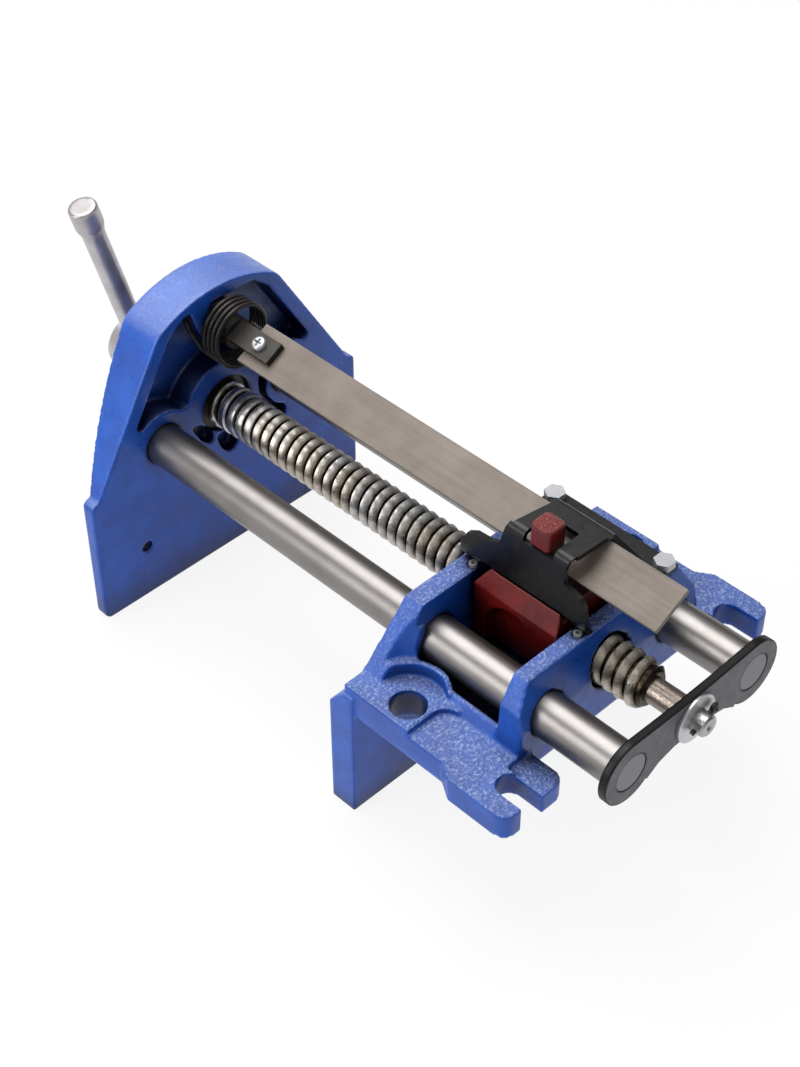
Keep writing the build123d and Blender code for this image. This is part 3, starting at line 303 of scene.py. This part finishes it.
def rod_steel(name):
    """Ground guide rod, its riveted end dull and hammered."""
    ring_size = 0.6 * MM
    stain_size = 18 * MM
    dent_size = 1.6 * MM
    rivet_roughness = 0.3
    rivet_dullness = 0.7
    mat, tree, shader = new_material(name)
    rivet = maths(tree, "GREATER_THAN", object_place(tree)["Y"], PLATE_Y)
    ring = noise(tree, ring_size, detail=2.0, stretch=(1.0, 0.15, 1.0))
    stained = patches(tree, stain_size, 0.0, 0.6, start=0.40, end=0.75, detail=4.0)
    colour = mix(tree, rivet, mix(tree, stained, ROD, ROD_STAIN), RIVET)
    gloss = fade(tree, ring, 0.34, 0.46, start=0.3, end=0.7)
    gloss = maths(tree, "ADD", gloss, maths(tree, "MULTIPLY", rivet, rivet_roughness))
    metal = maths(tree, "SUBTRACT", 1.0, maths(tree, "MULTIPLY", rivet, rivet_dullness))
    tree.links.new(metal, shader.inputs["Metallic"])
    rings = bump(tree, ring, 0.12, depth=0.05 * MM)
    dents = bump(tree, noise(tree, dent_size, detail=2.0), maths(tree, "MULTIPLY", rivet, 0.5),
                 depth=0.5 * MM, below=rings)
    coat(tree, shader, colour, gloss, dents)
    return mat


def plate_paint(name):
    """Link plate: dull grey outer face, black rounded rim."""
    cloud_size = 9 * MM
    gloss_size = 4 * MM
    grain_size = 0.8 * MM
    rim_radius = 1.8 * MM
    mat, tree, shader = new_material(name, specular=0.25)
    rim = tree.nodes.new("ShaderNodeBevel")
    rim.samples = 8
    rim.inputs["Radius"].default_value = rim_radius
    outward = split_vector(tree, rim.outputs["Normal"])["Y"]
    flat = fade(tree, outward, 0.0, 1.0, start=0.93, end=0.99)
    cloud = patches(tree, cloud_size, PLATE_FACE_DARK, PLATE_FACE, detail=4.0)
    colour = mix(tree, flat, PLATE_RIM, cloud)
    gloss = patches(tree, gloss_size, 0.36, 0.52)
    grain = bump(tree, noise(tree, grain_size), 0.2, depth=0.2 * MM, below=rim.outputs["Normal"])
    coat(tree, shader, colour, gloss, grain)
    return mat


def thread_height(tree):
    """How high a point lies on the screw's thread, from 0 at the root to 1 at the crest."""
    place = object_place(tree)
    high = maths(tree, "SUBTRACT", place["Z"], SCREW_AXIS_Z)
    high_squared = maths(tree, "MULTIPLY", high, high)
    across_squared = maths(tree, "MULTIPLY", place["X"], place["X"])
    radius = maths(tree, "SQRT", maths(tree, "ADD", across_squared, high_squared))
    above_root = maths(tree, "SUBTRACT", radius, SCREW_ROOT)
    return maths(tree, "DIVIDE", above_root, SCREW_CREST - SCREW_ROOT)


def thread_steel(name):
    """Oiled screw, bright on the crests and brown in the roots, with a bare journal and tip. The
    dark roots are partly grime and partly painted shade; the bright crests are partly polish and
    partly painted highlight.
    """
    jitter_size = 2.5 * MM
    oil_size = 45 * MM
    gloss_size = 1.6 * MM
    nick_size = 1.8 * MM
    root_end = 0.30
    flank_middle = 0.62
    crest_start = 0.95
    mat, tree, shader = new_material(name, metallic=1.0)
    grime_and_shade_jitter = maths(tree, "MULTIPLY", noise(tree, jitter_size, detail=4.0), 0.5)
    height = maths(tree, "ADD", thread_height(tree), grime_and_shade_jitter)
    # Painted shade in the roots and painted highlight on the crests, partly real grime and polish;
    # the noise makes their edges uneven
    clean = ramp(tree, height, [(root_end, CLEAN_ROOT_GRIME_AND_SHADE), (flank_middle, CLEAN_FLANK),
                                (crest_start, CLEAN_CREST_POLISH_AND_HIGHLIGHT)])
    oily = ramp(tree, height, [(root_end, OILY_ROOT_GRIME_AND_SHADE), (flank_middle, OILY_FLANK),
                               (crest_start, OILY_CREST_POLISH_AND_HIGHLIGHT)])
    oil = patches(tree, oil_size, 0.0, 0.8, start=0.50, end=0.62, detail=2.0)
    along = object_place(tree)["Y"]
    tail = mix(tree, maths(tree, "GREATER_THAN", along, PLATE_Y), JOURNAL, SCREW_TIP)
    bare = maths(tree, "GREATER_THAN", along, THREAD_END_Y)
    colour = mix(tree, bare, mix(tree, oil, clean, oily), tail)
    gloss = patches(tree, gloss_size, 0.26, 0.50)
    coat(tree, shader, colour, gloss, bump(tree, noise(tree, nick_size), 0.45, depth=0.3 * MM))
    return mat


def flat_bar_steel(name):
    """Drawn flat bar: dull warm grey with long faint streaks."""
    streak_size = 1.4 * MM
    patch_size = 20 * MM
    grain_size = 2.0 * MM
    mat, tree, shader = new_material(name, metallic=0.25)
    streak = noise(tree, streak_size, stretch=(1.0, 50.0, 1.0))
    tone = patches(tree, patch_size, 0.0, 1.0, start=0.35, detail=5.0)
    drawn = fade(tree, streak, 0.0, 0.25, start=0.4, end=0.75)
    colour = mix(tree, drawn, mix(tree, tone, FLAT_BAR_DARK, FLAT_BAR), FLAT_BAR_STREAK)
    gloss = fade(tree, streak, 0.48, 0.62, start=0.3, end=0.7)
    grain = bump(tree, noise(tree, grain_size, detail=4.0), 0.10, depth=0.1 * MM)
    coat(tree, shader, colour, gloss, grain)
    return mat


def black_paint(name, base, wear_and_sheen, roughness):
    """Black paint or oxide, rubbed in places, and lighter where it faces up, partly from dust and
    partly from a painted sheen.
    """
    rub_size = 6 * MM
    gloss_size = 4 * MM
    grain_size = 1.2 * MM
    mat, tree, shader = new_material(name, specular=0.28)
    rub = patches(tree, rub_size, 0.0, 0.5, start=0.55, end=0.8, detail=4.0)
    # Lighter upward faces: partly dust, partly painted sheen
    dust_and_sheen = fade(tree, facing_up(tree), 0.0, 0.45, start=0.5, end=0.95)
    colour = mix(tree, dust_and_sheen, mix(tree, rub, base, wear_and_sheen), wear_and_sheen)
    gloss = patches(tree, gloss_size, roughness * 0.8, roughness * 1.25)
    coat(tree, shader, colour, gloss, bump(tree, noise(tree, grain_size), 0.16, depth=0.3 * MM))
    return mat


def dress(mat, names):
    """Give nodes one material."""
    for name in names:
        materials = nodes[name].data.materials
        materials.clear()
        materials.append(mat)


def dress_vise():
    """Give every piece of the vise its finish."""
    blues = (BLUE, BLUE_DEEP, BLUE_PAINTED_SHEEN, BLUE_PAINTED_SHADE)
    reds = (RED, RED_DEEP, RED_PAINTED_SHEEN, RED_PAINTED_SHADE)
    dress(enamel("blue_enamel", *blues), ["body_casting"])
    dress(enamel("jaw_blue_enamel", *blues, glint_share=0.10, relief=0.15, reach=42 * MM), ["front_jaw"])
    dress(enamel("red_enamel", *reds, glint_share=0.35, relief=0.8, grain=1.0 * MM), ["half_nut"])
    dress(black_paint("black_sheet", BLACK, BLACK_WEAR_AND_SHEEN, 0.34), ["release_cover", "release_lever"])
    dress(black_paint("black_oxide", OXIDE, OXIDE_WEAR_AND_SHEEN, 0.38),
          ["thrust_collar", "collar_pin", "head_pin", "split_pin", "release_shaft"])
    dress(black_paint("spring_steel", SPRING, SPRING_WEAR_AND_SHEEN, 0.32), ["lever_spring"])
    dress(plate_paint("black_plate"), ["link_plate"])
    dress(rod_steel("ground_rods"), ["guide_rod_left", "guide_rod_right", "rod_pins"])
    dress(ground_steel("handle_steel", HANDLE, HANDLE_STAIN, along=(1.0, 1.0, 8.0)),
          ["tommy_bar", "tommy_bar_cap", "screw_head"])
    dress(ground_steel("zinc", ZINC, ZINC_STAIN, along=(1.0, 1.0, 1.0)),
          ["cover_bolts", "cover_pins", "thrust_washer", "lever_washer", "tail_washer",
           "bar_screw", "bar_nut", "lever_nut"])
    dress(thread_steel("screw_steel"), ["lead_screw"])
    dress(flat_bar_steel("flat_bar"), ["release_bar"])


# Rounding
def soften_form(name, voxel, passes):
    """Round the edges and corners of a cast or forged piece."""
    obj = nodes[name]
    grid = obj.modifiers.new("mould", "REMESH")
    grid.mode = "VOXEL"
    grid.voxel_size = voxel
    grid.use_smooth_shade = True
    ease = obj.modifiers.new("ease", "SMOOTH")
    ease.factor = EASE_FACTOR
    ease.iterations = passes


def smooth_and_weld(obj):
    """Shade a machined piece smooth and join its faces along their edges."""
    for face in obj.data.polygons:
        face.use_smooth = True
    weld = obj.modifiers.new("weld", "WELD")
    weld.merge_threshold = WELD_DISTANCE


def round_edges(name, width):
    """Small rounding on the edges of a machined or pressed piece."""
    obj = nodes[name]
    smooth_and_weld(obj)
    bevel = obj.modifiers.new("round", "BEVEL")
    bevel.width = width
    bevel.segments = EDGE_SEGMENTS
    bevel.limit_method = "ANGLE"
    bevel.angle_limit = EDGE_ANGLE
    bevel.use_clamp_overlap = True
    bevel.face_strength_mode = "FSTR_ALL"
    even = obj.modifiers.new("even", "WEIGHTED_NORMAL")
    even.keep_sharp = True
    even.use_face_influence = True


def keep_crisp(name):
    """Shade a turned, wound or stamped piece smooth between its sharp edges."""
    obj = nodes[name]
    smooth_and_weld(obj)
    edges = obj.modifiers.new("edges", "EDGE_SPLIT")
    edges.split_angle = CRISP_ANGLE


# Floor, world and lights
def floor_glow(tree, half):
    """Share of the floor's own white: all of it far off, a little less by the vise."""
    path = tree.nodes.new("ShaderNodeLightPath")
    seen = maths(tree, "MAXIMUM", path.outputs["Is Camera Ray"], path.outputs["Is Glossy Ray"])
    coords = tree.nodes.new("ShaderNodeTexCoord")
    length = tree.nodes.new("ShaderNodeVectorMath")
    length.operation = "LENGTH"
    tree.links.new(coords.outputs["Object"], length.inputs[0])
    distance = maths(tree, "DIVIDE", length.outputs["Value"], half)
    return maths(tree, "MULTIPLY", seen, fade(tree, distance, 0.88, 1.0, start=0.17, end=0.45))


def floor_paint(half):
    """White floor paint that keeps the vise's soft shadow."""
    mat, tree, shader = new_material("floor_white", specular=0.1)
    shader.inputs["Base Color"].default_value = (*FLOOR_WHITE, 1.0)
    shader.inputs["Roughness"].default_value = 0.7
    glow = tree.nodes.new("ShaderNodeEmission")
    glow.inputs["Color"].default_value = (*WHITE, 1.0)
    glow.inputs["Strength"].default_value = 1.0
    blend = tree.nodes.new("ShaderNodeMixShader")
    tree.links.new(floor_glow(tree, half), blend.inputs["Fac"])
    tree.links.new(shader.outputs["BSDF"], blend.inputs[1])
    tree.links.new(glow.outputs["Emission"], blend.inputs[2])
    tree.links.new(blend.outputs["Shader"], tree.nodes["Material Output"].inputs["Surface"])
    return mat


def white_floor(half=3.0):
    """Square pale floor under the lower edges of the jaws."""
    corners = [(-half, -half, FLOOR_Z), (half, -half, FLOOR_Z), (half, half, FLOOR_Z),
               (-half, half, FLOOR_Z)]
    mesh = bpy.data.meshes.new("floor")
    mesh.from_pydata(corners, [], [(0, 1, 2, 3)])
    mesh.materials.append(floor_paint(half))
    floor = bpy.data.objects.new("floor", mesh)
    bpy.context.scene.collection.objects.link(floor)


def studio_world():
    """White for the camera, a banded studio for light and reflections."""
    world = bpy.data.worlds.new("studio")
    bpy.context.scene.world = world
    world.use_nodes = True
    tree = world.node_tree
    coords = tree.nodes.new("ShaderNodeTexCoord")
    up = split_vector(tree, coords.outputs["Generated"])["Z"]
    height = maths(tree, "ADD", maths(tree, "MULTIPLY", up, 0.5), 0.5)
    path = tree.nodes.new("ShaderNodeLightPath")
    colour = mix(tree, path.outputs["Is Camera Ray"], ramp(tree, height, STUDIO_BANDS), WHITE)
    background = tree.nodes["Background"]
    background.inputs["Strength"].default_value = 1.0
    tree.links.new(colour, background.inputs["Color"])


def softbox(name, place, target, size, watts):
    """Rectangular area light aimed at a point."""
    light = bpy.data.lights.new(name, "AREA")
    light.shape = "RECTANGLE"
    light.size, light.size_y = size
    light.energy = watts
    obj = bpy.data.objects.new(name, light)
    obj.location = place
    aim = Vector(target) - Vector(place)
    obj.rotation_euler = aim.to_track_quat("-Z", "Y").to_euler()
    bpy.context.scene.collection.objects.link(obj)


def studio_lights():
    """Soft key light from above and the left, and a faint fill from the front."""
    middle = (0.0, -0.05, 0.0)
    softbox("key_above", place=(-0.10, -0.60, 1.40), target=middle, size=(1.1, 1.1), watts=22.0)
    softbox("key_left", place=(1.30, -0.60, 0.70), target=middle, size=(0.5, 0.9), watts=10.0)
    softbox("fill_front", place=(0.7, 1.2, 0.9), target=(0.0, 0.0, 0.0), size=(0.9, 0.9), watts=3.0)


def camera_axes(azimuth, elevation, roll):
    """The camera's right, up and back, from angles in radians."""
    back = Vector((math.sin(azimuth) * math.cos(elevation),
                   -math.cos(azimuth) * math.cos(elevation),
                   math.sin(elevation)))
    right = Vector((math.cos(azimuth), math.sin(azimuth), 0.0))
    up = back.cross(right)
    turned_right = right * math.cos(roll) + up * math.sin(roll)
    turned_up = up * math.cos(roll) - right * math.sin(roll)
    return Matrix((turned_right, turned_up, back)).transposed().to_4x4()


def photo_camera():
    """Camera solved from the photograph."""
    place = (0.50088, 0.43023, 0.66769)
    azimuth = math.radians(135.46)
    elevation = math.radians(42.20)
    roll = math.radians(-0.23)
    image_width = 800.0
    focal_pixels = 2021.3
    centre_offset = (0.9, 0.2)
    camera = bpy.data.cameras.new("camera")
    camera.sensor_fit = "HORIZONTAL"
    camera.sensor_width = 36.0
    camera.lens = camera.sensor_width * focal_pixels / image_width
    camera.shift_x = -centre_offset[0] / image_width
    camera.shift_y = centre_offset[1] / image_width
    camera.clip_end = 20.0
    obj = bpy.data.objects.new("camera", camera)
    obj.matrix_world = Matrix.Translation(place) @ camera_axes(azimuth, elevation, roll)
    bpy.context.scene.collection.objects.link(obj)
    bpy.context.scene.camera = obj


dress_vise()
for piece, (voxel, passes) in SOFT_FORMS.items():
    soften_form(piece, voxel, passes)
for piece, width in EDGE_WIDTHS.items():
    round_edges(piece, width)
for piece in CRISP_PIECES:
    keep_crisp(piece)
white_floor()
studio_world()
studio_lights()
photo_camera()
bpy.context.scene.view_settings.view_transform = "Standard"
